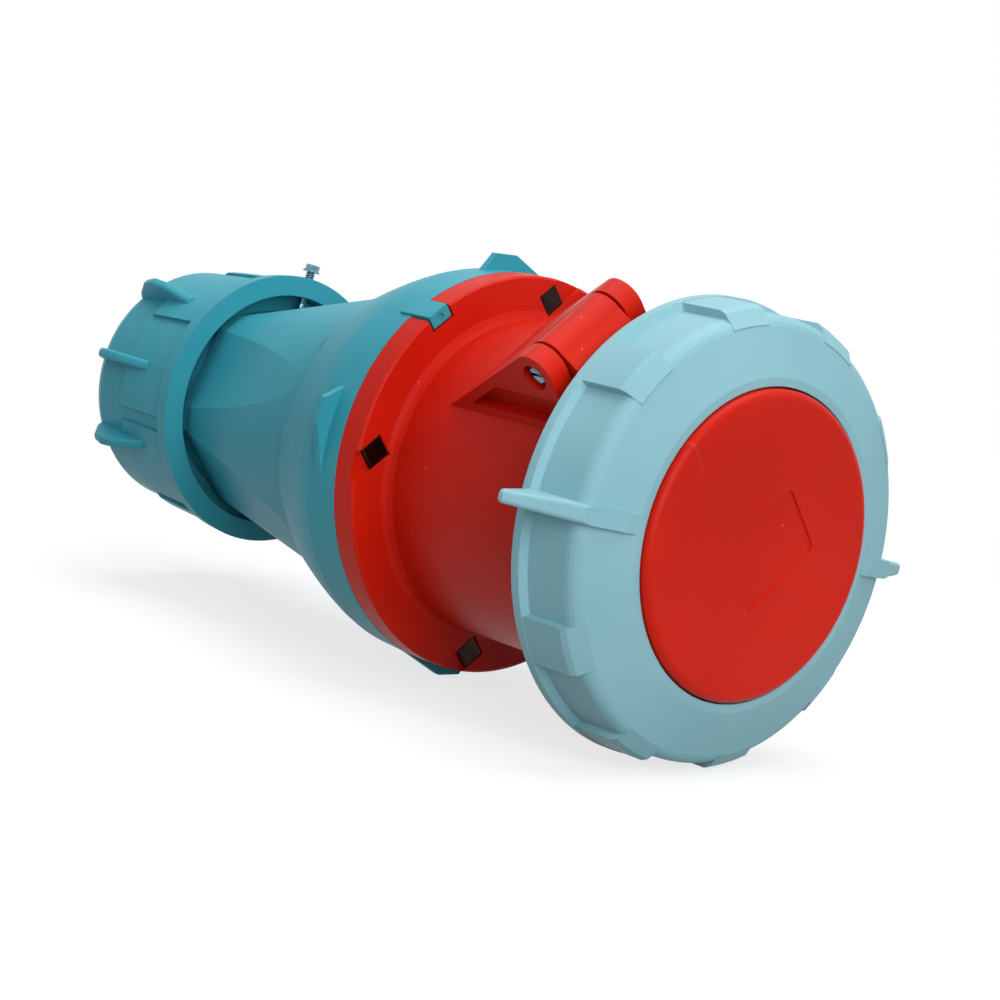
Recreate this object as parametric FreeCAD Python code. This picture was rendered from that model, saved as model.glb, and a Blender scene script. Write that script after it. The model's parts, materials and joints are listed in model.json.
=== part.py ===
import FreeCAD, Part
import math
import os

from FreeCAD import Vector as V

# Industrial cable coupler, five pole, with a hinged lid and a bayonet locking ring.
# Millimetres. Built along its own axis X, lid towards +X, hinge on top, flange face at x = 0.
# place() at the end lays it down on the locking ring's rim and the flat of one drum lug.

# Gaps between pieces
gap = 0.3
pin_clearance = 0.05
seat_clearance = 0.1

# Lying down: how far the hinge leans from upright
lug_flat_angle = 39.0

# Red front shell
flange_radius = 74.1
flange_thickness = 10.4
barrel_radius = 58.5
barrel_bore = 51.5
barrel_length = 108.0
spigot_length = 10.0
spigot_radius = 60.2
keyway_width = 9.0
keyway_depth = 3.5
shoulder_bore = 43.5
shoulder_back = 8.0
shoulder_thickness = 8.0
root_round = 3.0
flange_edge_bevel = 0.8

# Square headed bolts that join the shells
bolt_circle = 66.3
bolt_angles = (45.0, 135.0, 225.0, 315.0)
bolt_head_side = 8.8
bolt_head_depth = 4.0
bolt_head_sunk = 0.3
bolt_head_chamfer = 0.5
bolt_channel_clearance = 0.2
bolt_channel_depth = 2.0
bolt_shank_radius = 2.5
bolt_length = 26.0
insert_radius = 3.6
insert_length = 12.0
insert_sunk = 1.0
insert_boss_wall = 4.0
boss_inset = 1.5
bolt_hole_beyond = 3.0

# Locating tab of the rear shell, in a notch of the flange below the hinge
tab_width = 8.8
tab_floor_radius = 69.8
tab_rise = 0.7
tab_root = 6.0
tab_notch_clearance = 0.9
tab_mark_radius = 1.5
tab_mark_depth = 0.6

# Hinge
hinge_setback = 34.0
hinge_height = 76.7
knuckle_radius = 8.6
ear_outer_half = 22.8
ear_thickness = 7.6
ear_gap = 1.2
ear_foot_x = 19.0
ear_roof_thickness = 4.0
ear_swing_gap = 0.8
ear_hollow_start = 26.0
ear_rib_height = 3.6
ear_pocket_depth = 5.0
pin_radius = 3.0
pin_head_radius = 4.2
pin_head_length = 3.0
pin_counterbore = 4.8
pin_head_sunk = 1.6
pin_slot_width = 1.2
pin_slot_depth = 1.0

# Bayonet: two ramps on the barrel, two lugs in the ring that turn in behind them
ramp_height = 7.8
ramp_setback = 5.0
ramp_thickness = 5.0
ramp_span = 36.0
ramp_lead = 2.2
ring_turn = 40.0
lug_span = 20.0
lug_rest_angle = 90.0
lug_barrel_gap = 1.5
lug_setback = 2.0
lug_thickness = 4.0
lug_foot_slope = 2.0

# Lid
lid_boss_radius = 53.5
lid_stand = 2.6
lid_edge_round = 3.0
lid_wall = 4.0
lid_plate_thickness = 4.0
lid_plate_gap = 1.1
gasket_inner = 50.0
gasket_outer = 59.0
gasket_thickness = 2.7
arm_top = 71.5
arm_thickness = 9.0
arm_bend = 15.0
arm_crown_angle = 40.0
arm_tip_angle = 55.0
arm_foot_rise = 2.0
arm_foot_run = 3.0
arm_root_swell = 1.0
label_width = 37.4
label_height = 26.0
label_depth = 0.6
label_shift_y = 2.0
label_shift_z = -3.2
label_corner = 2.5

# Teal locking ring
ring_radius = 80.0
ring_depth = 27.4
ring_lip_width = 3.5
ring_lip_slope = 1.2
ring_panel_depth = 3.0
ring_wall = 3.5
ring_shoulder_radius = 72.0
ring_corner_round = 5.5
ring_face_rise = 5.2
ring_face_land = 3.0
ring_bore_gap = 0.6
ring_front_wall = 2.1
ridge_count = 10
ridge_angle = -43.5
ridge_span = 13.0
ridge_drop = 0.3
ridge_round = 5.0
wing_places = (0, 5)
wing_lean = -1.1
wing_half_root = 3.2
wing_half_tip = 2.2
wing_radius = 101.5
wing_tip_setback = 11.6
wing_tip_length = 5.0
wing_rise = 2.2
wing_inner_radius = 57.0
wing_round = 1.5
hook_thickness = 2.2
hook_reach = 4.4
hook_span = 12.0
hook_angles = (60.0, 135.0, 210.0, 285.0)

# Contact carrier and contacts
carrier_radius = 40.0
carrier_recess = 10.0
carrier_edge_round = 1.5
carrier_flange_thickness = 8.0
contact_circle = 26.0
contact_bore = 5.05
contact_outer = 7.6
contact_mouth_rise = 0.6
earth_bore = 6.05
earth_outer = 8.6
pilot_bore = 3.05
pilot_outer = 5.0
contact_recess = 2.0
contact_bore_depth = 45.0
contact_collar = 1.6
contact_collar_thickness = 3.0
contact_back_x = -16.0
terminal_radius = 9.0
wire_hole_depth = 18.0
wire_hole_radius = 5.6
terminal_screw_radius = 3.0
terminal_screw_head = 3.0
terminal_screw_spacing = 9.0
retainer_thickness = 6.0
retainer_radius = 43.2
small_screw_radius = 2.0
small_screw_head_radius = 3.6
small_screw_head_height = 2.6
carrier_screw_circle = 46.7
retainer_screw_circle = 39.6
screw_drive_width = 1.0
screw_drive_depth = 1.0

# Teal rear shell
rear_wall = 4.0
rim_depth = 14.0
drum_radius = 74.2
drum_waist_radius = 73.2
drum_waist_x = -28.0
shoulder_radius = 62.0
shoulder_x = -60.0
shoulder_edge = 0.8
cone_front_radius = 58.8
neck_radius = 43.0
neck_x = -146.0
hex_flat_back = 39.5
hex_flat_runout_x = -66.0
neck_end_x = -150.0
thread_radius = 38.6
thread_end_x = -184.0
bush_seat_x = -156.0
bush_stop_radius = 25.0
bush_stop_thickness = 4.0
bush_radius = 30.0
lug_front_x = -18.8
lug_back_x = -21.6
lug_flat_drop = 0.4
lug_flat_hinge_side = 6.2
lug_flat_far_side = 3.8
lug_foot_hinge_side = 13.7
lug_foot_far_side = 22.0
lug_root_depth = 3.0
seal_radius = 1.45
seal_x = -15.4
seal_sides = 8

# Gland
cable_radius = 20.0
nut_back_x = -205.0
nut_front_x = -143.0
nut_back_radius = 46.0
nut_back_bevel = 5.0
nut_base_rise = 2.4
nut_collar_radius = 54.8
nut_collar_length = 9.0
nut_collar_step = 3.2
nut_mouth_radius = 46.8
nut_mouth_depth = 10.5
nut_land_height = 1.6
nut_land_back_x = -182.0
nut_groove_count = 8
nut_groove_angle = -17.0
nut_groove_span = 6.5
nut_hole_radius = 25.0
nut_thread_back_x = -188.0
nut_wing_angles = (-2.2, -38.2, -74.2, 177.8, 141.8, 105.8)
nut_wing_thickness = 4.0
nut_wing_radius = 58.8
nut_wing_front_x = -165.0
washer_thickness = 2.0
washer_hole = 21.0
collet_fingers = 8
collet_slot = 2.0
collet_end_x = -201.0
collet_bore = 22.0
collet_rim = 4.0
collet_tip_wall = 2.5
lock_screw_angle = 50.7
lock_screw_x = -149.0
lock_screw_radius = 2.0
lock_screw_head_radius = 3.6
lock_screw_head_height = 2.4
lock_screw_stand = 3.0
lock_screw_bite = 1.0
lock_screw_point_gap = 4.0

# Stations and radii that follow from the sizes above
hinge_x = barrel_length - hinge_setback
ramp_front_x = barrel_length - ramp_setback
ramp_radius = barrel_radius + ramp_height
carrier_front_x = barrel_length - carrier_recess
contact_front_x = carrier_front_x - contact_recess
arm_half_width = ear_outer_half - ear_thickness - ear_gap
plate_back_x = barrel_length + gap + gasket_thickness
plate_front_x = plate_back_x + lid_plate_thickness
ring_wall_x = plate_front_x + gap
ring_shoulder_x = ring_wall_x + ring_front_wall
ring_back_x = ring_shoulder_x - ring_depth
ring_face_x = ring_shoulder_x + ring_face_rise
ring_bore = lid_boss_radius + ring_bore_gap
ring_panel_radius = ring_radius - ring_panel_depth
ring_inner_radius = ring_panel_radius - ring_wall
lid_plate_radius = ring_inner_radius - lid_plate_gap
lid_face_x = ring_face_x + lid_stand


def turn(shape, angle):
    """Turns a copy about the coupler's axis. Angle 0 is the hinge side, positive towards +Y."""
    turned = shape.copy()
    turned.rotate(V(0, 0, 0), V(1, 0, 0), -angle)
    return turned


def flat_outline(points):
    """A face in the XZ plane from (x, z) points."""
    corners = [V(x, 0, z) for x, z in points]
    return Part.Face(Part.makePolygon(corners + corners[:1]))


def spin(points, span=360.0, middle=0.0):
    """Revolves (x, radius) points about the axis, over a span centred on an angle."""
    solid = flat_outline(points).revolve(V(0, 0, 0), V(1, 0, 0), span)
    if span < 360.0:
        solid = turn(solid, middle + span / 2.0)
    return solid


def slab(points, half_width):
    """Extrudes (x, z) points to both sides of the middle plane."""
    face = flat_outline(points)
    face.translate(V(0, -half_width, 0))
    return face.extrude(V(0, 2.0 * half_width, 0))


def rod(radius, x_from, x_to, y=0.0, z=0.0):
    low = min(x_from, x_to)
    return Part.makeCylinder(radius, abs(x_to - x_from), V(low, y, z), V(1, 0, 0))


def tube(outer, inner, x_from, x_to):
    return rod(outer, x_from, x_to).cut(rod(inner, x_from - 1.0, x_to + 1.0))


def off_axis(shape, radius, angle):
    """Moves a shape that lies on the axis out to a radius at an angle."""
    moved = shape.copy()
    moved.translate(V(0, 0, radius))
    return turn(moved, angle)


def fuse_all(shapes):
    whole = shapes[0]
    for shape in shapes[1:]:
        whole = whole.fuse(shape)
    return whole.removeSplitter()


def cut_all(shape, tools):
    for tool in tools:
        shape = shape.cut(tool)
    return shape


def group(shapes):
    return Part.makeCompound(shapes)


def round_edges(shape, radius, wanted):
    """Fillets the edges for which wanted(edge) holds."""
    edges = [edge for edge in shape.Edges if wanted(edge)]
    return shape.makeFillet(radius, edges)


def circle_at(edge, x, radius):
    """True for a round edge about the axis at a station and radius."""
    curve = edge.Curve
    if not isinstance(curve, Part.Circle):
        return False
    centre = curve.Center
    on_axis = math.hypot(centre.y, centre.z) < 0.01
    return on_axis and abs(centre.x - x) < 0.01 and abs(curve.Radius - radius) < 0.01


def front_shell():
    inside_end = -flange_thickness - spigot_length
    root = root_round * 0.3
    body = spin([
        (inside_end, barrel_bore), (inside_end, spigot_radius),
        (-flange_thickness, spigot_radius), (-flange_thickness, flange_radius),
        (-flange_edge_bevel, flange_radius), (0.0, flange_radius - flange_edge_bevel),
        (0.0, barrel_radius + root_round), (root, barrel_radius + root), (root_round, barrel_radius),
        (barrel_length, barrel_radius), (barrel_length, barrel_bore),
        (shoulder_back + shoulder_thickness, barrel_bore),
        (shoulder_back + shoulder_thickness, shoulder_bore),
        (shoulder_back, shoulder_bore), (shoulder_back, barrel_bore),
    ])
    body = fuse_all([body, hinge_ears()] + [bayonet_ramp(side) for side in (0.0, 180.0)])
    tools = [bolt_channel(angle) for angle in bolt_angles]
    shank_hole = rod(bolt_shank_radius + gap, inside_end, 0.0)
    tools += [off_axis(shank_hole, bolt_circle, angle) for angle in bolt_angles]
    tools += [tab_block(tab_notch_clearance, 0.0), keyway(), seal_groove()]
    for angle in carrier_screw_angles():
        tools.append(off_axis(rod(small_screw_radius, shoulder_back, barrel_length),
                              carrier_screw_circle, angle))
    return cut_all(body, tools)


def keyway():
    """The polarising groove opposite the hinge."""
    tall = keyway_depth + 2.0
    groove = Part.makeBox(barrel_length, keyway_width, tall,
                          V(shoulder_back + shoulder_thickness, -keyway_width / 2.0, barrel_bore - 2.0))
    return turn(groove, 180.0)


def seal_groove():
    depth = 2.0 * seal_radius + seat_clearance
    half = seal_radius + seat_clearance
    return tube(spigot_radius + 5.0, spigot_radius + gap - depth, seal_x - half, seal_x + half)


def bolt_channel(angle):
    """Square pocket for a bolt head, with a shallow channel out to the side of the flange."""
    side = bolt_head_side + bolt_channel_clearance
    y = bolt_circle * math.sin(math.radians(angle))
    z = bolt_circle * math.cos(math.radians(angle))
    depth = bolt_head_depth + bolt_head_sunk
    pocket = Part.makeBox(depth + 1.0, side, side, V(-depth, y - side / 2.0, z - side / 2.0))
    y_from = y if y > 0 else -flange_radius
    channel = Part.makeBox(bolt_channel_depth + 1.0, flange_radius - abs(y), side,
                           V(-bolt_channel_depth, y_from, z - side / 2.0))
    return pocket.fuse(channel)


def square_head_bolts():
    bolts = []
    for angle in bolt_angles:
        y = bolt_circle * math.sin(math.radians(angle))
        z = bolt_circle * math.cos(math.radians(angle))
        half = bolt_head_side / 2.0
        front = -bolt_head_sunk
        head = Part.makeBox(bolt_head_depth, bolt_head_side, bolt_head_side,
                            V(front - bolt_head_depth, y - half, z - half))
        head = head.makeChamfer(bolt_head_chamfer, [e for e in head.Edges if e.BoundBox.XMin > front - 0.01])
        shank = rod(bolt_shank_radius, front - bolt_length, front - bolt_head_depth / 2.0, y, z)
        bolts.append(head.fuse(shank).removeSplitter())
    return group(bolts)


def threaded_inserts():
    pieces = []
    for angle in bolt_angles:
        sleeve = tube(insert_radius, bolt_shank_radius, -flange_thickness - insert_length - insert_sunk,
                      -flange_thickness - insert_sunk)
        pieces.append(off_axis(sleeve, bolt_circle, angle))
    return group(pieces)


def tab_block(grow, back):
    """The locating tab, or its notch when grown."""
    half = tab_width / 2.0 + grow
    floor = tab_floor_radius - grow
    block = Part.makeBox(flange_thickness + back + grow, 2.0 * half, 2.0 * knuckle_radius,
                         V(-flange_thickness - back, -half, floor))
    return block


def hinge_ears():
    """Two ears under one sloping roof, cut out for the lid's knuckle."""
    foot_z = math.sqrt(barrel_radius ** 2 - ear_outer_half ** 2)
    rise = math.atan2(hinge_height - foot_z, hinge_x - ear_foot_x)
    reach = math.hypot(hinge_height - foot_z, hinge_x - ear_foot_x)
    lean = rise + math.asin(knuckle_radius / reach)
    top_x = hinge_x - knuckle_radius * math.sin(lean)
    top_z = hinge_height + knuckle_radius * math.cos(lean)
    front = hinge_x + knuckle_radius
    deep = barrel_bore + 2.0
    wedge = slab([(ear_foot_x - (foot_z - deep) / math.tan(lean), deep), (top_x, top_z), (hinge_x, hinge_height),
                  (front, hinge_height), (front, deep)], ear_outer_half)
    barrel_end = Part.makeCylinder(knuckle_radius, 2.0 * ear_outer_half,
                                   V(hinge_x, -ear_outer_half, hinge_height), V(0, 1, 0))
    ears = wedge.fuse(barrel_end).removeSplitter()
    inner_half = ear_outer_half - ear_thickness
    swing = knuckle_radius + ear_swing_gap
    room = Part.makeCylinder(swing, 2.0 * inner_half, V(hinge_x, -inner_half, hinge_height), V(0, 1, 0))
    front_room = Part.makeBox(3.0 * knuckle_radius, 2.0 * inner_half, hinge_height,
                              V(hinge_x - 1.0, -inner_half, barrel_radius))
    hollow_back = ear_foot_x + ear_hollow_start
    hollow = slab([(hollow_back, deep), (front + 5.0, deep), (front + 5.0, hinge_height - swing + 1.0),
                   (hinge_x - swing * 0.6, hinge_height - swing * 0.8),
                   (hollow_back, foot_z + ear_hollow_start * math.tan(lean) - ear_roof_thickness * 1.2)],
                  inner_half)
    tools = [room, front_room, hollow]
    tools += [ear_pocket(side, foot_z, lean) for side in (-1.0, 1.0)]
    pin_end = V(hinge_x, -2.0 * ear_outer_half, hinge_height)
    tools.append(Part.makeCylinder(pin_radius, 4.0 * ear_outer_half, pin_end, V(0, 1, 0)))
    for side in (-1.0, 1.0):
        depth = pin_head_length + pin_head_sunk
        start = V(hinge_x, side * (ear_outer_half - depth), hinge_height)
        tools.append(Part.makeCylinder(pin_counterbore, depth + 1.0, start, V(0, side, 0)))
    tools.append(rod(barrel_radius - 1.0, ear_foot_x - 20.0, hinge_x + 30.0))
    return cut_all(ears, tools)


def ear_pocket(side, foot_z, lean):
    """The sunk field in an ear's outer face, between the roof, the base rib and the pin's eye."""
    floor = foot_z + ear_rib_height
    back = ear_foot_x + (ear_rib_height + ear_roof_thickness * 1.1) / math.tan(lean)
    eye_x = hinge_x - knuckle_radius
    roof_at_eye = foot_z + (eye_x - ear_foot_x) * math.tan(lean) - ear_roof_thickness * 1.1
    ceiling = min(roof_at_eye, hinge_height - knuckle_radius)
    upper_x = ear_foot_x + (ceiling - foot_z + ear_roof_thickness * 1.1) / math.tan(lean)
    pocket = slab([(back, floor), (hinge_x + knuckle_radius + 1.0, floor),
                   (hinge_x + knuckle_radius + 1.0, ceiling), (upper_x, ceiling)], ear_pocket_depth / 2.0)
    pocket.translate(V(0, side * (ear_outer_half - ear_pocket_depth / 2.0 + 0.01), 0))
    return pocket


def hinge_pin():
    """A pin with a slotted head at each end, sunk in the ears."""
    depth = pin_head_length + pin_head_sunk
    half = ear_outer_half - pin_head_sunk
    shank = Part.makeCylinder(pin_radius, 2.0 * half, V(hinge_x, -half, hinge_height), V(0, 1, 0))
    heads = []
    slots = []
    for side in (-1.0, 1.0):
        start = V(hinge_x, side * (ear_outer_half - depth), hinge_height)
        heads.append(Part.makeCylinder(pin_head_radius, pin_head_length, start, V(0, side, 0)))
        y_from = half - pin_slot_depth if side > 0 else -half - 1.0
        slots.append(Part.makeBox(4.0 * pin_head_radius, pin_slot_depth + 1.0, pin_slot_width,
                                  V(hinge_x - 2.0 * pin_head_radius, y_from, hinge_height - pin_slot_width / 2.0)))
    return cut_all(fuse_all([shank] + heads), slots)


def bayonet_ramp(side):
    """A sloped block on the barrel that the ring's lug turns behind."""
    middle = lug_rest_angle + ring_turn + side
    back = ramp_front_x - ramp_thickness
    block = spin([(back, barrel_radius - 1.0), (ramp_front_x, barrel_radius - 1.0),
                  (ramp_front_x, ramp_radius), (back, ramp_radius)], ramp_span, middle)
    entry = spin([(back - 1.0, barrel_radius + 0.5), (back + ramp_lead, barrel_radius + 0.5),
                  (back + ramp_lead, ramp_radius + 1.0), (back - 1.0, ramp_radius + 1.0)],
                 ramp_span / 4.0, middle - ramp_span * 3.0 / 8.0)
    return block.cut(entry)


def carrier_screw_angles():
    return (0.0, 90.0, 270.0)


def contact_places():
    """Name, angle, bore and outer radius of the five power contacts."""
    places = [("earth_contact", 180.0, earth_bore, earth_outer)]
    names = ("phase_contact_1", "phase_contact_2", "phase_contact_3", "neutral_contact")
    for count, name in enumerate(names):
        places.append((name, 180.0 + 72.0 * (count + 1), contact_bore, contact_outer))
    return places


def contact(bore, outer, terminal):
    collar_x = shoulder_back + shoulder_thickness
    body = spin([(contact_back_x, 0.0), (contact_back_x, terminal), (collar_x - contact_collar_thickness, terminal),
                 (collar_x - contact_collar_thickness, outer + contact_collar), (collar_x, outer + contact_collar),
                 (collar_x, outer), (contact_front_x, outer), (contact_front_x, 0.0)])
    return body.cut(rod(bore, contact_front_x - contact_bore_depth, contact_front_x + 1.0))


def terminal_screw_stations():
    first = contact_back_x + terminal_screw_spacing / 2.0
    return (first, first + terminal_screw_spacing)


def power_contact(angle, bore, outer):
    body = contact(bore, outer, terminal_radius)
    body = body.cut(rod(wire_hole_radius, contact_back_x - 1.0, contact_back_x + wire_hole_depth))
    for x in terminal_screw_stations():
        body = body.cut(Part.makeCylinder(terminal_screw_radius, 2.0 * terminal_radius, V(x, 0, 0), V(0, 0, 1)))
    return off_axis(body, contact_circle, angle)


def pilot_contact():
    return contact(pilot_bore, pilot_outer, pilot_outer)


def terminal_screws():
    screws = []
    for name, angle, bore, outer in contact_places():
        for x in terminal_screw_stations():
            low = wire_hole_radius - 1.0
            high = terminal_radius + terminal_screw_head
            screw = Part.makeCylinder(terminal_screw_radius, high - low, V(x, 0, low), V(0, 0, 1))
            slot = Part.makeBox(2.0 * terminal_screw_radius, screw_drive_width, screw_drive_depth,
                                V(x - terminal_screw_radius, -screw_drive_width / 2.0, high - screw_drive_depth))
            screws.append(off_axis(screw.cut(slot), contact_circle, angle))
    return group(screws)


def contact_carrier():
    flange_back = shoulder_back + shoulder_thickness
    flange_front = flange_back + carrier_flange_thickness
    body = spin([(flange_back, 0.0), (flange_back, barrel_bore - seat_clearance),
                 (flange_front, barrel_bore - seat_clearance), (flange_front, carrier_radius),
                 (carrier_front_x, carrier_radius), (carrier_front_x, 0.0)])
    body = round_edges(body, carrier_edge_round, lambda e: circle_at(e, carrier_front_x, carrier_radius))
    tools = []
    for name, angle, bore, outer in contact_places():
        tools.append(off_axis(rod(outer + seat_clearance, 0.0, contact_front_x + seat_clearance),
                              contact_circle, angle))
        tools.append(off_axis(rod(bore + contact_mouth_rise, contact_front_x - 1.0, carrier_front_x + 1.0),
                              contact_circle, angle))
    tools.append(rod(pilot_outer + seat_clearance, 0.0, contact_front_x + seat_clearance))
    tools.append(rod(pilot_bore + contact_mouth_rise, contact_front_x - 1.0, carrier_front_x + 1.0))
    for angle in carrier_screw_angles():
        tools.append(off_axis(rod(small_screw_radius + seat_clearance, 0.0, carrier_front_x), carrier_screw_circle,
                              angle))
    return cut_all(body, tools)


def retainer_plate():
    """Holds the contacts' collars against the carrier from behind."""
    front = shoulder_back + shoulder_thickness - contact_collar_thickness
    plate = rod(retainer_radius, front - retainer_thickness, front)
    tools = [off_axis(rod(terminal_radius + seat_clearance, -5.0, 20.0), contact_circle, place[1])
             for place in contact_places()]
    tools.append(rod(pilot_outer + seat_clearance, -5.0, 20.0))
    for angle in retainer_screw_angles():
        tools.append(off_axis(rod(small_screw_radius + seat_clearance, -5.0, 20.0), retainer_screw_circle, angle))
    return cut_all(plate, tools)


def retainer_screw_angles():
    return (0.0, 144.0, 216.0)


def pan_screw(length):
    """A pan head screw along the axis, its head's seat at x = 0 and its shank towards -X."""
    head = spin([(0.0, 0.0), (0.0, small_screw_head_radius), (small_screw_head_height * 0.5, small_screw_head_radius),
                 (small_screw_head_height, small_screw_head_radius * 0.7), (small_screw_head_height, 0.0)])
    slot = Part.makeBox(screw_drive_depth + 1.0, 4.0 * small_screw_head_radius, screw_drive_width,
                        V(small_screw_head_height - screw_drive_depth, -2.0 * small_screw_head_radius,
                          -screw_drive_width / 2.0))
    return head.fuse(rod(small_screw_radius, -length, 0.5)).removeSplitter().cut(slot)


def carrier_screws():
    seat = shoulder_back + shoulder_thickness + carrier_flange_thickness
    screws = []
    for angle in carrier_screw_angles():
        screw = pan_screw(carrier_flange_thickness + shoulder_thickness - 1.0)
        screw.translate(V(seat, 0, 0))
        screws.append(off_axis(screw, carrier_screw_circle, angle))
    return group(screws)


def retainer_screws():
    seat = shoulder_back + shoulder_thickness - contact_collar_thickness - retainer_thickness
    screws = []
    for angle in retainer_screw_angles():
        screw = pan_screw(retainer_thickness)
        screw.rotate(V(0, 0, 0), V(0, 0, 1), 180.0)
        screw.translate(V(seat, 0, 0))
        screws.append(off_axis(screw, retainer_screw_circle, angle))
    return group(screws)


def lid():
    back_face = lid_face_x - lid_wall
    hollow = lid_boss_radius - lid_wall
    body = spin([(plate_back_x, hollow), (plate_back_x, lid_plate_radius), (plate_front_x, lid_plate_radius),
                 (plate_front_x, lid_boss_radius), (lid_face_x, lid_boss_radius), (lid_face_x, 0.0),
                 (back_face, 0.0), (back_face, hollow)])
    body = round_edges(body, lid_edge_round, lambda e: circle_at(e, lid_face_x, lid_boss_radius))
    body = fuse_all([body, lid_arm()])
    body = body.cut(Part.makeCylinder(pin_radius + pin_clearance, 4.0 * arm_half_width,
                                      V(hinge_x, -2.0 * arm_half_width, hinge_height), V(0, 1, 0)))
    return body.cut(label_recess())


def lid_arm():
    """The hinge arm: it leaves the plate inside the ring and rises to the knuckle."""
    floor = arm_top - arm_thickness
    bend_x = hinge_x + arm_bend
    crown = math.radians(arm_crown_angle)
    tip = math.radians(arm_tip_angle)
    profile = [(hinge_x, hinge_height),
               (hinge_x + knuckle_radius * math.sin(crown), hinge_height + knuckle_radius * math.cos(crown)),
               (bend_x, arm_top), (plate_front_x, arm_top), (plate_front_x, floor + arm_foot_rise), (bend_x + arm_foot_run, floor),
               (hinge_x + knuckle_radius * math.sin(tip), hinge_height - knuckle_radius * math.cos(tip) - arm_root_swell),
               (hinge_x, hinge_height - knuckle_radius + 0.1)]
    knuckle = Part.makeCylinder(knuckle_radius, 2.0 * arm_half_width, V(hinge_x, -arm_half_width, hinge_height),
                                V(0, 1, 0))
    return slab(profile, arm_half_width).fuse(knuckle).removeSplitter()


def label_recess():
    """The bare sunk field on the lid's face."""
    block = Part.makeBox(label_depth + 1.0, label_width, label_height,
                         V(lid_face_x - label_depth, -label_width / 2.0, -label_height / 2.0))
    block = block.makeFillet(label_corner, [e for e in block.Edges if e.BoundBox.XLength > label_depth + 0.9])
    block.translate(V(0, label_shift_y, label_shift_z))
    return block


def lid_gasket():
    return tube(gasket_outer, gasket_inner, plate_back_x - gasket_thickness, plate_back_x)


def locking_ring():
    inner = ring_inner_radius
    lip_front = ring_back_x + ring_lip_width
    profile = [(ring_back_x, inner), (ring_back_x, ring_radius), (lip_front, ring_radius),
               (lip_front + ring_lip_slope, ring_panel_radius)]
    profile += ring_corner()
    profile += [(ring_face_x, ring_bore + ring_face_land), (ring_face_x, ring_bore), (ring_wall_x, ring_bore),
                (ring_wall_x, inner)]
    extras = []
    for place in range(ridge_count):
        angle = ridge_angle + 360.0 * place / ridge_count
        if place in wing_places:
            extras.append(ring_wing(angle + wing_lean))
        else:
            extras.append(ring_ridge(angle))
    lug_back = ring_back_x + lug_setback
    lug_inner = ramp_radius + lug_barrel_gap
    for side in (0.0, 180.0):
        extras.append(spin([(lug_back, inner + 1.0), (lug_back, lug_inner), (lug_back + lug_thickness, lug_inner),
                            (lug_back + lug_thickness + lug_foot_slope, inner + 1.0)], lug_span, lug_rest_angle + side))
    hook_front = plate_back_x - gap
    for angle in hook_angles:
        extras.append(spin([(hook_front - hook_thickness, inner + 1.0), (hook_front - hook_thickness + 1.0,
                            inner - hook_reach), (hook_front, inner - hook_reach), (hook_front, inner + 1.0)],
                           hook_span, angle))
    return fuse_all([spin(profile)] + extras)


def ring_corner():
    """Points of the round between the ring's side and its sloping face."""
    points = []
    for turned in (0.0, 17.5, 35.0, 52.5, 70.0):
        swept = math.radians(turned)
        points.append((ring_shoulder_x - ring_corner_round * (1.0 - math.sin(swept)),
                       ring_panel_radius - ring_corner_round * (1.0 - math.cos(swept))))
    return points


def ring_ridge(angle):
    lip_front = ring_back_x + ring_lip_width
    top = ring_radius - ridge_drop
    front = ring_shoulder_x - ridge_round
    return spin([(lip_front - 0.5, ring_panel_radius - 1.0), (lip_front - 0.5, top), (front - 1.4, top),
                 (front + 0.9, top - 1.0), (ring_shoulder_x - 0.1, ring_inner_radius + 0.1),
                 (ring_shoulder_x - 1.5, ring_inner_radius - 0.9),
                 (ring_shoulder_x - 1.5, ring_inner_radius + 0.9), (front - 0.9, ring_panel_radius - 1.5)],
                ridge_span, angle)


def ring_wing(angle):
    """A finger wing that crosses the rim, thins towards its tip and runs in over the face."""
    back = ring_back_x + 2.0
    tip_x = ring_shoulder_x - wing_tip_setback
    profile = [(back, ring_panel_radius - 1.0), (back + 0.5, ring_radius),
               (tip_x - wing_tip_length + 0.7, wing_radius - 1.3), (tip_x - wing_tip_length + 2.0, wing_radius),
               (tip_x - 1.3, wing_radius), (tip_x + 0.2, wing_radius - 2.0),
               (ring_shoulder_x - 3.9, ring_radius + 5.0), (ring_shoulder_x + 1.0, ring_radius - 2.0),
               (ring_shoulder_x + wing_rise + 0.2, ring_shoulder_radius), (ring_face_x - 0.2, wing_inner_radius + 5.0),
               (ring_face_x - 0.1, wing_inner_radius + 0.4), (ring_face_x - 1.6, wing_inner_radius + 0.4),
               (ring_shoulder_x - 1.2, ring_inner_radius - 2.0), (ring_shoulder_x - 1.2, ring_inner_radius + 0.9),
               (ring_shoulder_x - 5.9, ring_panel_radius - 1.5)]
    blade = slab(profile, wing_half_root)
    sides = [(-wing_half_root, wing_inner_radius), (-wing_half_root, ring_radius), (-wing_half_tip, wing_radius),
             (wing_half_tip, wing_radius), (wing_half_root, ring_radius), (wing_half_root, wing_inner_radius)]
    corners = [V(back - 1.0, y, z) for y, z in sides]
    outline = Part.Face(Part.makePolygon(corners + corners[:1]))
    blade = blade.common(outline.extrude(V(ring_depth + ring_face_rise, 0, 0)))
    return turn(round_edges(blade, wing_round, on_wing_rim), angle)


def on_wing_rim(edge):
    """True for an edge along the wing's outline, to one side of its middle and outside the ring's side."""
    box = edge.BoundBox
    beside = box.YMin * box.YMax > 0
    return beside and box.ZMin > ring_panel_radius and box.XLength > 0.1


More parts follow.
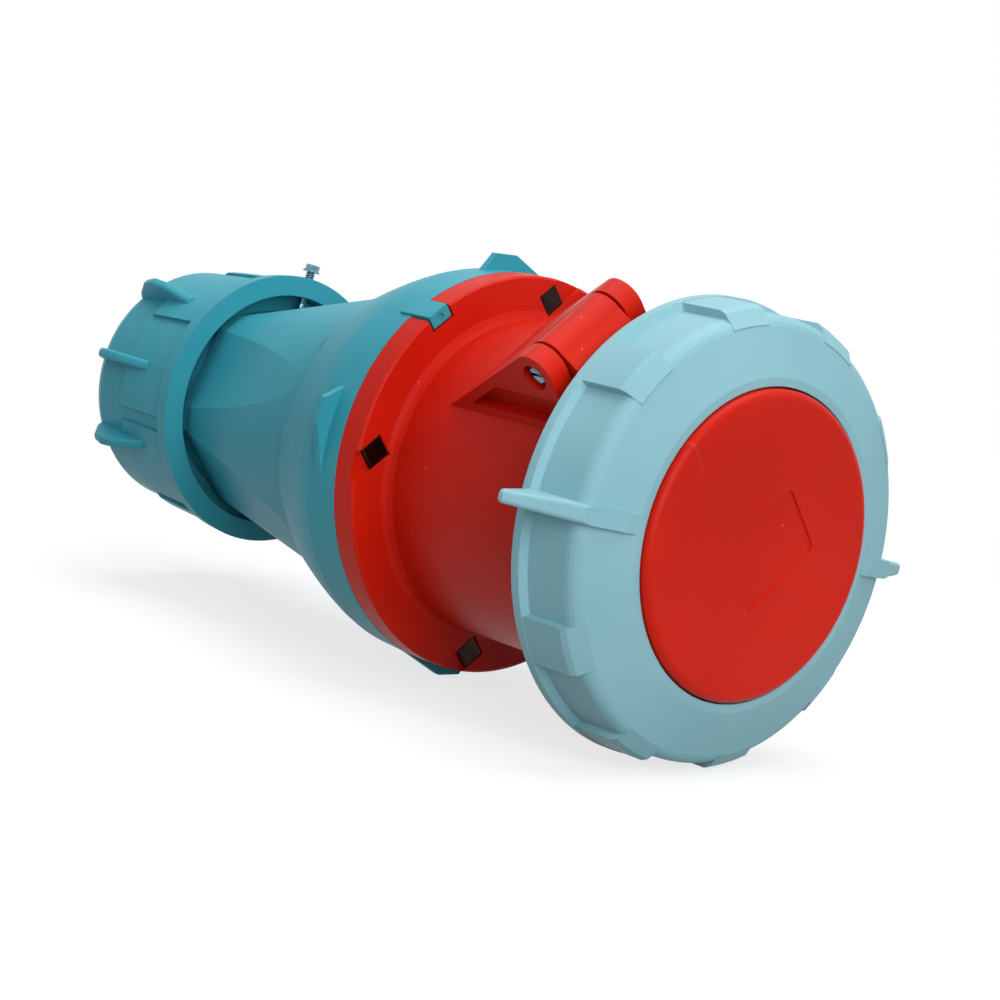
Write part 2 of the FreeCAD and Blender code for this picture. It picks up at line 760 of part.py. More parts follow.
def rear_shell():
    front = -flange_thickness
    rim_bore = spigot_radius + gap
    thick = rear_wall
    outer = [(front, rim_bore), (front, drum_radius), (drum_waist_x, drum_waist_radius)]
    outer += drum_curve()
    outer += [(shoulder_x, cone_front_radius), (neck_x, neck_radius), (neck_end_x, neck_radius),
              (neck_end_x, thread_radius), (thread_end_x, thread_radius), (thread_end_x, bush_radius),
              (bush_seat_x, bush_radius), (bush_seat_x, bush_stop_radius),
              (bush_seat_x + bush_stop_thickness, bush_stop_radius),
              (neck_x, hex_flat_back - thick), (shoulder_x + 1.0, cone_front_radius - thick),
              (drum_waist_x - 9.0, drum_waist_radius - 1.4 * thick),
              (front - rim_depth - 4.0, drum_waist_radius - thick),
              (front - rim_depth, rim_bore)]
    body = spin(outer)
    body = body.common(hex_limit())
    tools = []
    boss_back = -bolt_length - bolt_hole_beyond
    rim_room = tube(drum_radius - boss_inset, rim_bore, boss_back - 1.0, front)
    for angle in bolt_angles:
        boss = off_axis(rod(insert_radius + insert_boss_wall, boss_back, front), bolt_circle, angle)
        body = body.fuse(boss.common(rim_room))
        insert_back = front - insert_sunk - insert_length
        tools.append(off_axis(rod(insert_radius, insert_back, front + 1.0), bolt_circle, angle))
        tools.append(off_axis(rod(bolt_shank_radius + gap, boss_back - 1.0, front + 1.0),
                              bolt_circle, angle))
    extras = [drum_lug(side, mirrored) for side in (0.0, 180.0) for mirrored in (False, True)]
    tab = tab_block(0.0, tab_root).common(rod(drum_radius + tab_rise, -flange_thickness - tab_root, 0.0))
    mark = rod(tab_mark_radius, -tab_mark_depth, 1.0, 0.0, (tab_floor_radius + drum_radius) / 2.0)
    body = fuse_all([body] + extras + [tab])
    return cut_all(body, tools + [mark])


def drum_curve():
    """Points of the drum's rounded back, from the waist to the shoulder."""
    points = []
    steps = 6
    for step in range(1, steps + 1):
        share = step / steps
        x = drum_waist_x + (shoulder_x + 1.0 - drum_waist_x) * share
        drop = (drum_waist_radius - shoulder_radius) * share ** 1.25
        points.append((x, drum_waist_radius - drop))
    points.append((shoulder_x, shoulder_radius - shoulder_edge))
    return points


def hex_limit():
    """Everything inside the six sloping flats of the neck, and all in front of them."""
    slope = (cone_radius(hex_flat_runout_x) - hex_flat_back) / (hex_flat_runout_x - neck_x)
    far_x = neck_end_x - 10.0
    far = hex_flat_back + slope * (far_x - neck_x)
    near_x = hex_flat_runout_x + 10.0
    near = hex_flat_back + slope * (near_x - neck_x)
    sections = []
    for x, apothem in ((far_x, far), (near_x, near)):
        corner = apothem / math.cos(math.radians(30.0))
        points = [V(x, corner * math.sin(math.radians(60.0 * k)), corner * math.cos(math.radians(60.0 * k)))
                  for k in range(6)]
        sections.append(Part.makePolygon(points + points[:1]))
    cone = Part.makeLoft(sections, True)
    ahead = rod(drum_radius + 20.0, near_x, 10.0)
    behind = rod(thread_radius, thread_end_x - 1.0, far_x + 12.0)
    return fuse_all([cone, ahead, behind])


def cone_radius(x):
    share = (x - neck_x) / (shoulder_x - neck_x)
    return neck_radius + (cone_front_radius - neck_radius) * share


def drum_lug(side, mirrored):
    """A flat topped lug on the drum, with its steep foot on the hinge side and a long one away from it."""
    deep = drum_waist_radius - lug_root_depth
    flat = ring_radius - lug_flat_drop
    points = [V(lug_back_x, -lug_foot_far_side, deep), V(lug_back_x, -lug_flat_far_side, flat),
              V(lug_back_x, lug_flat_hinge_side, flat), V(lug_back_x, lug_foot_hinge_side, deep)]
    face = Part.Face(Part.makePolygon(points + points[:1]))
    block = face.extrude(V(lug_front_x - lug_back_x, 0, 0))
    block = turn(block, -lug_flat_angle)
    if side:
        block = block.mirror(V(0, 0, 0), V(0, 0, 1))
    if mirrored:
        block = block.mirror(V(0, 0, 0), V(0, 1, 0))
    return block


def body_seal():
    """Sealing ring in the spigot's groove, eight sided in section."""
    middle = spigot_radius + gap - seal_radius - seat_clearance / 2.0
    section = []
    for corner in range(seal_sides):
        turned = math.radians(360.0 * (corner + 0.5) / seal_sides)
        section.append((seal_x + seal_radius * math.cos(turned), middle + seal_radius * math.sin(turned)))
    return spin(section)


def gland_bush():
    return tube(bush_radius - seat_clearance, cable_radius, thread_end_x, bush_seat_x)


def gland_washer():
    return tube(thread_radius - collet_rim, washer_hole, thread_end_x - washer_thickness, thread_end_x)


def clamp_collet():
    """A ring with fingers that the nut's cone presses onto the cable."""
    front = thread_end_x - washer_thickness
    ring = spin([(front, collet_bore), (front, thread_radius - collet_rim), (front - 3.0, thread_radius - collet_rim),
                 (collet_end_x, nut_hole_radius + collet_tip_wall), (collet_end_x, collet_bore)])
    slots = []
    for finger in range(collet_fingers):
        slot = Part.makeBox(abs(collet_end_x - front), collet_slot, thread_radius,
                            V(collet_end_x - 4.0, -collet_slot / 2.0, 0.0))
        slots.append(turn(slot, 360.0 * finger / collet_fingers))
    return cut_all(ring, slots)


def gland_nut():
    inner_thread = thread_radius + seat_clearance
    collar_back = nut_front_x - nut_collar_length
    base_back = nut_back_radius + nut_base_rise
    mouth_end = nut_front_x - nut_mouth_depth
    body = spin([(nut_back_x, nut_hole_radius), (nut_back_x, nut_back_radius),
                 (nut_back_x + nut_back_bevel, base_back),
                 (collar_back, nut_collar_radius - nut_collar_step), (collar_back + 1.5, nut_collar_radius - 0.6),
                 (nut_front_x - 1.0, nut_collar_radius), (nut_front_x, nut_mouth_radius),
                 (mouth_end, nut_mouth_radius - 0.6), (mouth_end - 2.0, inner_thread),
                 (nut_thread_back_x, inner_thread), (nut_thread_back_x - 1.0, thread_radius - 3.0),
                 (collet_end_x - 1.0, nut_hole_radius + 3.5), (collet_end_x - 1.0, nut_hole_radius)])
    lands = []
    pitch = 360.0 / nut_groove_count
    for count in range(nut_groove_count):
        middle = nut_groove_angle + pitch * (count + 0.5)
        back_r = base_back + (nut_collar_radius - nut_collar_step - base_back) * 0.4
        lands.append(spin([(nut_land_back_x, back_r - 2.0), (nut_land_back_x, back_r + nut_land_height - 1.0),
                           (nut_land_back_x + 2.0, back_r + nut_land_height),
                           (collar_back + 1.3, nut_collar_radius - nut_collar_step + nut_land_height),
                           (collar_back + 1.3, nut_collar_radius - 6.0)], pitch - nut_groove_span, middle))
    wings = [nut_wing(angle) for angle in nut_wing_angles]
    body = fuse_all([body] + lands + wings)
    hole = turn(Part.makeCylinder(lock_screw_radius, 30.0, V(lock_screw_x, 0, thread_radius + 2.0), V(0, 0, 1)),
                lock_screw_angle)
    return body.cut(hole)


def nut_wing(angle):
    profile = [(nut_back_x + 3.0, nut_back_radius - 2.0), (nut_back_x + 6.0, nut_wing_radius - 6.5),
               (nut_back_x + 11.5, nut_wing_radius - 1.7), (nut_back_x + 17.5, nut_wing_radius),
               (nut_back_x + 26.0, nut_wing_radius - 0.8), (nut_wing_front_x, nut_back_radius + 7.0),
               (nut_wing_front_x, nut_back_radius)]
    blade = slab(profile, nut_wing_thickness / 2.0)
    outer = [e for e in blade.Edges if e.BoundBox.ZMin > nut_back_radius + 4.0 and e.BoundBox.YLength < 0.01]
    return turn(blade.makeFillet(nut_wing_thickness * 0.36, outer), angle)


def lock_screw():
    """Stands proud of the gland nut's collar and bears on the neck."""
    point = hex_flat_back - lock_screw_bite + lock_screw_point_gap
    seat = nut_collar_radius + lock_screw_stand
    shank = Part.makeCylinder(lock_screw_radius, seat - point, V(lock_screw_x, 0, point), V(0, 0, 1))
    head = Part.makeCylinder(lock_screw_head_radius, lock_screw_head_height, V(lock_screw_x, 0, seat), V(0, 0, 1))
    slot = Part.makeBox(4.0 * lock_screw_head_radius, screw_drive_width, screw_drive_depth + 1.0,
                        V(lock_screw_x - 2.0 * lock_screw_head_radius, -screw_drive_width / 2.0,
                          seat + lock_screw_head_height - screw_drive_depth))
    return turn(shank.fuse(head).removeSplitter().cut(slot), lock_screw_angle)


def place(shape):
    """Rolls the coupler onto its lug and puts the middle of its footprint at the origin."""
    placed = shape.copy()
    placed.rotate(V(0, 0, 0), V(1, 0, 0), lug_flat_angle)
    placed.translate(V(-(nut_back_x + lid_face_x) / 2.0, 0, ring_radius))
    return placed


def all_parts():
    parts = {
        "front_shell": front_shell(),
        "rear_shell": rear_shell(),
        "body_seal": body_seal(),
        "square_head_bolts": square_head_bolts(),
        "threaded_inserts": threaded_inserts(),
        "contact_carrier": contact_carrier(),
        "carrier_screws": carrier_screws(),
        "retainer_plate": retainer_plate(),
        "retainer_screws": retainer_screws(),
        "pilot_contact": pilot_contact(),
        "terminal_screws": terminal_screws(),
        "gland_nut": gland_nut(),
        "gland_bush": gland_bush(),
        "gland_washer": gland_washer(),
        "clamp_collet": clamp_collet(),
        "lock_screw": lock_screw(),
        "hinge_pin": hinge_pin(),
        "lid": lid(),
        "lid_gasket": lid_gasket(),
        "locking_ring": locking_ring(),
    }
    for name, angle, bore, outer in contact_places():
        parts[name] = power_contact(angle, bore, outer)
    return parts


os.makedirs("parts", exist_ok=True)
for name, shape in all_parts().items():
    placed = place(shape)
    if not placed.isValid():
        print("not valid:", name)
    placed.exportStep(os.path.join("parts", name + ".step"))
    box = placed.BoundBox
    print(f"{name:20s} solids {len(placed.Solids):2d} volume {placed.Volume / 1000.0:8.2f} cm3  "
          f"x {box.XMin:7.1f} {box.XMax:7.1f}  y {box.YMin:7.1f} {box.YMax:7.1f}  z {box.ZMin:6.1f} {box.ZMax:6.1f}")
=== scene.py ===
import json
import math

import bmesh
import bpy
from mathutils import Matrix, Vector


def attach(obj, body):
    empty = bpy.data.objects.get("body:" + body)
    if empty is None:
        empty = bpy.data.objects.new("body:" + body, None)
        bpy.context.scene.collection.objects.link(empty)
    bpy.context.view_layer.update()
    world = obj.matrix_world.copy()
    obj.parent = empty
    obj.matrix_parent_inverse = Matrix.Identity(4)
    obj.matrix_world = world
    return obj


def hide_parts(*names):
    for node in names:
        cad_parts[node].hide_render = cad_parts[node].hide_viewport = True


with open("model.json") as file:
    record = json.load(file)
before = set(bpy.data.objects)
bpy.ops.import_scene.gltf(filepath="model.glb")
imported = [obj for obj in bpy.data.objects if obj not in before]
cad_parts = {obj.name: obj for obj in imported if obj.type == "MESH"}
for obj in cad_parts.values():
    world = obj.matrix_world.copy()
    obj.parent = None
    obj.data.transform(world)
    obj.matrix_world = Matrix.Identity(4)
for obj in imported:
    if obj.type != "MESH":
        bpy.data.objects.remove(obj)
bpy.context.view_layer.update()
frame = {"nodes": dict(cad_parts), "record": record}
nodes = frame["nodes"]
print("frame loaded,", len(nodes), "pieces")

mm = 0.001

# the coupler is drawn along its own axis, then laid on its ring's rim and one lug
lying = {"flangeFace": 39.9, "axisHeight": 80.0, "hingeLean": 39.0}
layDown = (Matrix.Translation((lying["flangeFace"] * mm, 0, lying["axisHeight"] * mm))
           @ Matrix.Rotation(math.radians(lying["hingeLean"]), 4, "X"))


def feed(node, inputs):
    # links the wires to a node's sockets and sets the rest
    for name, value in inputs.items():
        if isinstance(value, Wire):
            value.tree.links.new(value.socket, node.inputs[name])
        else:
            node.inputs[name].default_value = value


class Wire:
    # a shader socket that takes part in sums
    def __init__(self, tree, socket=None):
        self.tree = tree
        self.socket = socket

    def node(self, kind, settings=None, inputs=None, output=0):
        made = self.tree.nodes.new(kind)
        for name, value in (settings or {}).items():
            setattr(made, name, value)
        feed(made, inputs or {})
        return Wire(self.tree, made.outputs[output])

    def other(self, output):
        # another output of the same node
        return Wire(self.tree, self.socket.node.outputs[output])

    def maths(self, operation, first, second=0.0, clamp=False):
        return self.node("ShaderNodeMath", {"operation": operation, "use_clamp": clamp},
                         {0: first, 1: second})

    def __add__(self, value):
        return self.maths("ADD", self, value)

    __radd__ = __add__

    def __sub__(self, value):
        return self.maths("SUBTRACT", self, value)

    def __rsub__(self, value):
        return self.maths("SUBTRACT", value, self)

    def __mul__(self, value):
        return self.maths("MULTIPLY", self, value)

    __rmul__ = __mul__

    def __gt__(self, value):
        return self.maths("GREATER_THAN", self, value)

    def __lt__(self, value):
        return self.maths("LESS_THAN", self, value)

    def clamped(self):
        return self.maths("ADD", self, 0.0, clamp=True)

    def distance(self, value):
        return self.maths("ABSOLUTE", self - value)

    def between(self, low, high):
        # 0 at low and under it, 1 at high and over it
        return ((self - low) * (1.0 / (high - low))).clamped()

    def mix(self, first, second):
        # first where this mask is 0, second where it is 1; the node's colours are its sockets 6 and 7
        return self.node("ShaderNodeMix", {"data_type": "RGBA"}, {0: self, 6: first, 7: second}, output=2)

    def noise(self, coords, scale, detail):
        return self.node("ShaderNodeTexNoise", None, {"Vector": coords, "Scale": scale, "Detail": detail})


def colour(red, green, blue):
    # an sRGB colour, 0 to 255, as a shader takes it
    def linear(level):
        level = level / 255.0
        return level / 12.92 if level <= 0.04045 else ((level + 0.055) / 1.055) ** 2.4
    return (linear(red), linear(green), linear(blue), 1.0)


def newMaterial(name):
    material = bpy.data.materials.new(name)
    material.use_nodes = True
    shader = material.node_tree.nodes["Principled BSDF"]
    return material, shader, Wire(material.node_tree)


def dressed(obj, material):
    obj.data.materials.clear()
    obj.data.materials.append(material)


# moulded plastics: face and deep are the clouded colour, mark is that of the specks and scratches
redPlastic = {"face": colour(208, 31, 9), "deep": colour(192, 23, 6), "mark": colour(232, 150, 128),
              "marks": 1.0, "roughness": 0.42, "shine": 0.15,
              "grain": 1500.0, "grainDepth": 0.02, "edge": 0.45}
tealPlastic = {"face": colour(60, 157, 173), "deep": colour(48, 147, 164), "mark": colour(190, 214, 218),
               "marks": 0.25, "roughness": 0.46, "shine": 0.2,
               "grain": 1300.0, "grainDepth": 0.03, "edge": 0.5}
ringPlastic = {"face": colour(144, 190, 199), "deep": colour(132, 180, 190), "mark": colour(206, 224, 228),
               "marks": 0.25, "roughness": 0.5, "shine": 0.2,
               "grain": 1300.0, "grainDepth": 0.03, "edge": 0.6}
blackPlastic = {"face": colour(30, 30, 33), "deep": colour(22, 22, 25), "mark": colour(60, 60, 64),
                "marks": 0.2, "roughness": 0.5, "shine": 0.3,
                "grain": 1600.0, "grainDepth": 0.03, "edge": 0.3}

clouds = {"scale": 14.0, "low": 0.35, "high": 0.68}
specksLook = {"cells": 170.0, "size": 0.055, "rare": 0.82}
scratchesLook = {"scale": 22.0, "thinness": 420.0, "patchScale": 31.0, "low": 0.66, "high": 0.7,
                 "strength": 0.22}
plasticFace = {"markStrength": 0.55, "markRoughness": 0.2, "unevenScale": 60.0, "unevenRoughness": 0.12,
               "bump": 0.35, "edgeSamples": 4}


def paleMarks(wire, coords):
    # a few small specks, and fine scratches where a wandering noise crosses its middle
    cells = wire.node("ShaderNodeTexVoronoi", None, {"Vector": coords, "Scale": specksLook["cells"]})
    rare = wire.node("ShaderNodeSeparateColor", None, {"Color": cells.other("Color")})
    specks = (cells < specksLook["size"]) * (rare > specksLook["rare"])
    bend = wire.noise(coords, scratchesLook["scale"], detail=1.5)
    patch = wire.noise(coords, scratchesLook["patchScale"], detail=1.0)
    scratches = ((1.0 - bend.distance(0.5) * scratchesLook["thinness"]).clamped()
                 * patch.between(scratchesLook["low"], scratchesLook["high"]))
    return (specks + scratches * scratchesLook["strength"]).clamped()


def mouldedPlastic(name, look):
    material, shader, wire = newMaterial(name)
    coords = wire.node("ShaderNodeTexCoord", output="Object")
    cloudy = wire.noise(coords, clouds["scale"], detail=3.0)
    tone = cloudy.between(clouds["low"], clouds["high"]).mix(look["deep"], look["face"])
    marks = paleMarks(wire, coords) * (plasticFace["markStrength"] * look["marks"])
    uneven = wire.noise(coords, plasticFace["unevenScale"], detail=3.0) * plasticFace["unevenRoughness"]
    smoothest = look["roughness"] - plasticFace["unevenRoughness"] / 2
    grain = wire.noise(coords, look["grain"], detail=2.0)
    softEdge = wire.node("ShaderNodeBevel", {"samples": plasticFace["edgeSamples"]},
                         {"Radius": look["edge"] * mm})
    relief = wire.node("ShaderNodeBump", None, {"Strength": plasticFace["bump"], "Height": grain,
                                                "Distance": look["grainDepth"] * mm, "Normal": softEdge})
    feed(shader, {"Base Color": marks.mix(tone, look["mark"]),
                  "Roughness": uneven + smoothest + marks * plasticFace["markRoughness"],
                  "Specular IOR Level": look["shine"],
                  "Normal": relief})
    return material


# metals: face is the clean colour, dull is that of the stains; in the dark steel both also carry a painted
# red reflection
brassFinish = {"face": colour(205, 170, 98), "dull": colour(168, 132, 70), "roughness": 0.3}
zincFinish = {"face": colour(132, 170, 184), "dull": colour(86, 122, 138), "roughness": 0.3}
# dark steel: the darkness is the steel's own, its red-brown tint in face and dull is a painted reflection
# of the red flange
darkSteelRedReflection = {"face": colour(52, 36, 34), "dull": colour(26, 18, 20), "roughness": 0.34}

metalFace = {"stainScale": 160.0, "low": 0.4, "high": 0.7, "streakScale": 420.0, "streakAcross": 9.0,
             "streakRoughness": 0.2, "streakDepth": 0.02, "bump": 0.3, "edge": 0.2, "edgeSamples": 4}


def metal(name, look):
    material, shader, wire = newMaterial(name)
    coords = wire.node("ShaderNodeTexCoord", output="Object")
    stained = wire.noise(coords, metalFace["stainScale"], detail=4.0).between(metalFace["low"],
                                                                              metalFace["high"])
    across = metalFace["streakAcross"]
    drawnOut = wire.node("ShaderNodeMapping", None, {"Vector": coords, "Scale": (1.0, across, across)})
    streaks = wire.noise(drawnOut, metalFace["streakScale"], detail=2.0)
    smoothest = look["roughness"] - metalFace["streakRoughness"] / 2
    softEdge = wire.node("ShaderNodeBevel", {"samples": metalFace["edgeSamples"]},
                         {"Radius": metalFace["edge"] * mm})
    relief = wire.node("ShaderNodeBump", None, {"Strength": metalFace["bump"], "Height": streaks,
                                                "Distance": metalFace["streakDepth"] * mm,
                                                "Normal": softEdge})
    feed(shader, {"Base Color": stained.mix(look["face"], look["dull"]),
                  "Metallic": 1.0,
                  "Roughness": streaks * metalFace["streakRoughness"] + smoothest,
                  "Normal": relief})
    return material


rubberFinish = {"face": colour(26, 26, 28), "dust": colour(58, 58, 60), "dustScale": 90.0, "low": 0.5,
                "high": 0.8, "dustStrength": 0.5, "roughness": 0.72, "dustRoughness": 0.14,
                "grain": 2200.0, "grainDepth": 0.03, "bump": 0.4}


def rubber(name, look):
    material, shader, wire = newMaterial(name)
    coords = wire.node("ShaderNodeTexCoord", output="Object")
    dusty = wire.noise(coords, look["dustScale"], detail=4.0)
    dust = dusty.between(look["low"], look["high"]) * look["dustStrength"]
    grain = wire.noise(coords, look["grain"], detail=1.0)
    relief = wire.node("ShaderNodeBump", None, {"Strength": look["bump"], "Height": grain,
                                                "Distance": look["grainDepth"] * mm})
    feed(shader, {"Base Color": dust.mix(look["face"], look["dust"]),
                  "Roughness": dusty * look["dustRoughness"] + look["roughness"],
                  "Normal": relief})
    return material


finishes = {
    "red_plastic": mouldedPlastic("redMoulding", redPlastic),
    "teal_plastic": mouldedPlastic("tealMoulding", tealPlastic),
    "ring_plastic": mouldedPlastic("ringMoulding", ringPlastic),
    "black_plastic": mouldedPlastic("blackMoulding", blackPlastic),
    "black_rubber": rubber("gasketRubber", rubberFinish),
    "brass": metal("turnedBrass", brassFinish),
    "zinc_steel": metal("zincPlate", zincFinish),
    "dark_steel": metal("blackedSteelRedReflection", darkSteelRedReflection),
}
for piece in frame["record"]["subparts"]:
    dressed(nodes[piece["node"]], finishes[piece["material_slot"]])
print("finishes on", len(finishes), "slots")

mergeWithin = 1e-6  # metres
facingUp = 0.9  # the least Z of a normal that points up


def pieceFrom(name, mesh, body, slot, standsFor, smooth):
    # closes a bmesh into an object that rides on a body in a node's place
    bmesh.ops.remove_doubles(mesh, verts=mesh.verts, dist=mergeWithin)
    bmesh.ops.recalc_face_normals(mesh, faces=mesh.faces)
    data = bpy.data.meshes.new(name)
    mesh.to_mesh(data)
    mesh.free()
    obj = bpy.data.objects.new(name, data)
    bpy.context.scene.collection.objects.link(obj)
    for face in data.polygons:
        face.use_smooth = True
    data.set_sharp_from_angle(angle=math.radians(smooth))
    dressed(obj, finishes[slot])
    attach(obj, body)
    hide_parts(standsFor)


def addTo(mesh, other):
    # joins one bmesh to another
    data = bpy.data.meshes.new("joined")
    other.to_mesh(data)
    other.free()
    mesh.from_mesh(data)
    bpy.data.meshes.remove(data)


def rod(mesh, sides, low, high, foot, top, turned=Matrix.Identity(4)):
    # a capped rod from low to high along Z, as wide as foot and top say at its ends
    bmesh.ops.create_cone(mesh, cap_ends=True, segments=sides, radius1=foot * mm, radius2=top * mm,
                          depth=(high - low) * mm,
                          matrix=turned @ Matrix.Translation((0, 0, (low + high) / 2 * mm)))


# square bolt heads, sunk in the flange, each with a raised dot in its middle
squareHead = {"angles": (45, 135, 225, 315), "circle": 66.3, "front": -0.3, "side": 8.8, "depth": 4.0,
              "edge": 0.55, "dot": 0.55, "dotTop": 0.33, "dotSunk": 0.06, "dotRise": 0.1, "dotSides": 16,
              "shank": 2.5, "shankSides": 24, "length": 26.0, "smooth": 25.0}


def squareHeadBolt(look):
    # one bolt along X, with the middle of its head at the origin
    bolt = bmesh.new()
    half = look["depth"] / 2
    bmesh.ops.create_cube(bolt, size=1.0, matrix=Matrix.Diagonal((look["depth"] * mm, look["side"] * mm,
                                                                 look["side"] * mm, 1.0)))
    rim = [edge for edge in bolt.edges if all(vert.co.x > 0 for vert in edge.verts)]
    bmesh.ops.bevel(bolt, geom=rim, offset=look["edge"] * mm, offset_type="OFFSET", affect="EDGES",
                    segments=2, profile=0.5, material=-1)
    alongX = Matrix.Rotation(math.radians(90), 4, "Y")
    rod(bolt, look["dotSides"], half - look["dotSunk"], half + look["dotRise"], look["dot"], look["dotTop"],
        alongX)
    rod(bolt, look["shankSides"], half - look["length"], -half, look["shank"], look["shank"], alongX)
    return bolt


def squareHeadBolts(look):
    mesh = bmesh.new()
    x = look["front"] - look["depth"] / 2
    for angle in look["angles"]:
        y = look["circle"] * math.sin(math.radians(angle))
        z = look["circle"] * math.cos(math.radians(angle))
        bolt = squareHeadBolt(look)
        bmesh.ops.transform(bolt, matrix=layDown @ Matrix.Translation((x * mm, y * mm, z * mm)),
                            verts=bolt.verts)
        addTo(mesh, bolt)
    pieceFrom("squareHeadBolts", mesh, "housing", "dark_steel", "square_head_bolts", look["smooth"])


def slottedHead(mesh, look, seat):
    # a round flange on the seat and a six-sided head on it, with a slot sunk across its middle
    flangeTop = seat + look["flangeHeight"]
    rod(mesh, look["flangeSides"], seat, flangeTop, look["flange"], look["flange"] * look["flangeTaper"])
    base = flangeTop - look["headSunk"]
    head = bmesh.new()
    rod(head, 6, base, base + look["height"], look["head"], look["head"])
    top = [face for face in head.faces if face.normal.z > facingUp]
    bmesh.ops.inset_region(head, faces=top, thickness=look["head"] * look["inset"] * mm)
    top = [face for face in head.faces
           if face.normal.z > facingUp and face.calc_area() > (look["head"] * mm) ** 2]
    for side in (-1, 1):
        around = list({edge for face in top for edge in face.edges})
        corners = list({vert for face in top for vert in face.verts})
        bmesh.ops.bisect_plane(head, geom=top + around + corners, plane_no=(0, 1, 0),
                               plane_co=(0, side * look["slot"] / 2 * mm, 0))
        # what is left of the flat top near the middle, without the inset's thin strips
        top = [face for face in head.faces
               if face.normal.z > facingUp and face.calc_area() > look["leastFace"]
               and abs(face.calc_center_median().y) < look["head"] * look["nearMiddle"] * mm]
    groove = [face for face in top if abs(face.calc_center_median().y) < look["slot"] / 2 * mm]
    sunk = bmesh.ops.extrude_face_region(head, geom=groove)
    bmesh.ops.delete(head, geom=groove, context="FACES")
    bmesh.ops.translate(head, vec=(0, 0, -look["height"] * look["slotDepth"] * mm),
                        verts=[part for part in sunk["geom"] if isinstance(part, bmesh.types.BMVert)])
    addTo(mesh, head)


# the lock screw stands proud of the gland nut's collar, at an angle from the hinge
lockScrewLook = {"x": -149.0, "angle": 50.7, "foot": 42.5, "seat": 57.8, "shank": 1.65, "shankSides": 24,
                 "thread": 2.0, "pitch": 0.9, "crest": 0.38, "root": 0.76, "rootSunk": 0.15,
                 "threadFoot": 1.0, "threadTop": 0.6, "threadSteps": 18,
                 "flange": 3.6, "flangeHeight": 0.7, "flangeTaper": 0.93, "flangeSides": 32,
                 "head": 3.1, "headSunk": 0.1, "height": 2.3, "inset": 0.12,
                 "slot": 0.9, "slotDepth": 0.45, "nearMiddle": 0.4, "leastFace": 1e-7,
                 "smooth": 30.0}


def screwThread(mesh, look):
    # a three-sided ridge wound round the shank
    low = look["foot"] + look["threadFoot"]
    high = look["seat"] - look["threadTop"]
    turns = int((high - low) / look["pitch"])
    steps = look["threadSteps"] * turns
    root = look["shank"] - look["rootSunk"]
    corners = [(root, 0.0), (look["thread"], look["pitch"] * look["crest"]),
               (root, look["pitch"] * look["root"])]
    start = [mesh.verts.new((radius * mm, 0, (low + z) * mm)) for radius, z in corners]
    edges = [mesh.edges.new((start[k], start[(k + 1) % 3])) for k in range(3)]
    bmesh.ops.spin(mesh, geom=start + edges, cent=(0, 0, 0), axis=(0, 0, 1), angle=2 * math.pi * turns,
                   dvec=(0, 0, look["pitch"] * turns * mm / steps), steps=steps, use_merge=False)
    bmesh.ops.holes_fill(mesh, edges=[edge for edge in mesh.edges if edge.is_boundary], sides=3)


def lockScrew(look):
    mesh = bmesh.new()
    rod(mesh, look["shankSides"], look["foot"], look["seat"], look["shank"], look["shank"])
    screwThread(mesh, look)
    slottedHead(mesh, look, look["seat"])
    place = (layDown @ Matrix.Rotation(-math.radians(look["angle"]), 4, "X")
             @ Matrix.Translation((look["x"] * mm, 0, 0)))
    bmesh.ops.transform(mesh, matrix=place, verts=mesh.verts)
    pieceFrom("lockScrew", mesh, "housing", "zinc_steel", "lock_screw", look["smooth"])


# the hinge pin has the same kind of head at both ends, sunk in the ears
hingePinLook = {"x": 74.0, "up": 76.7, "shank": 3.0, "shankSides": 32, "halfLength": 18.4, "seat": 18.2,
                "flange": 4.1, "flangeHeight": 0.8, "flangeTaper": 0.94, "flangeSides": 40,
                "head": 3.5, "headSunk": 0.1, "height": 2.3, "inset": 0.12,
                "slot": 1.2, "slotDepth": 0.45, "nearMiddle": 0.4, "leastFace": 1e-7,
                "smooth": 30.0}


def hingePin(look):
    mesh = bmesh.new()
    for side in (-1, 1):
        half = bmesh.new()
        rod(half, look["shankSides"], 0.0, look["halfLength"], look["shank"], look["shank"])
        slottedHead(half, look, look["seat"])
        place = (layDown @ Matrix.Translation((look["x"] * mm, 0, look["up"] * mm))
                 @ Matrix.Rotation(math.radians(-90.0 * side), 4, "X"))
        bmesh.ops.transform(half, matrix=place, verts=half.verts)
        addTo(mesh, half)
    pieceFrom("hingePin", mesh, "housing", "zinc_steel", "hinge_pin", look["smooth"])


squareHeadBolts(squareHead)
lockScrew(lockScrewLook)
hingePin(hingePinLook)
print("bolts, lock screw and hinge pin made")

# white paper, three soft boxes and a cool fill from the world
floorLook = {"size": 8.0, "grey": 0.3, "roughness": 0.9, "white": 0.74, "fadeFrom": 0.3, "fadeTo": 0.75}
studio = {"fill": (0.82, 0.93, 1.0, 1.0), "fillStrength": 0.32, "aim": (0.05, 0.0, 0.08)}
softBoxes = {
    "topBox": {"place": (0.05, 0.15, 1.35), "size": (1.5, 1.1), "power": 15.0},
    "faceBox": {"place": (1.3, -0.6, 0.62), "size": (1.0, 1.0), "power": 14.5},
    "sideBox": {"place": (-0.35, -1.45, 0.75), "size": (1.0, 0.8), "power": 1.5},
}
photoCamera = {"place": (0.72302, -0.64252, 0.19430), "turned": (82.4144, -8.6064, 48.0652),
               "lens": 92.655, "sensor": 36.0}


def seenDirectly(wire):
    # 1 for the rays that show the background itself
    path = wire.node("ShaderNodeLightPath", output="Is Camera Ray")
    return (path + path.other("Is Glossy Ray") + path.other("Is Transmission Ray")).clamped()


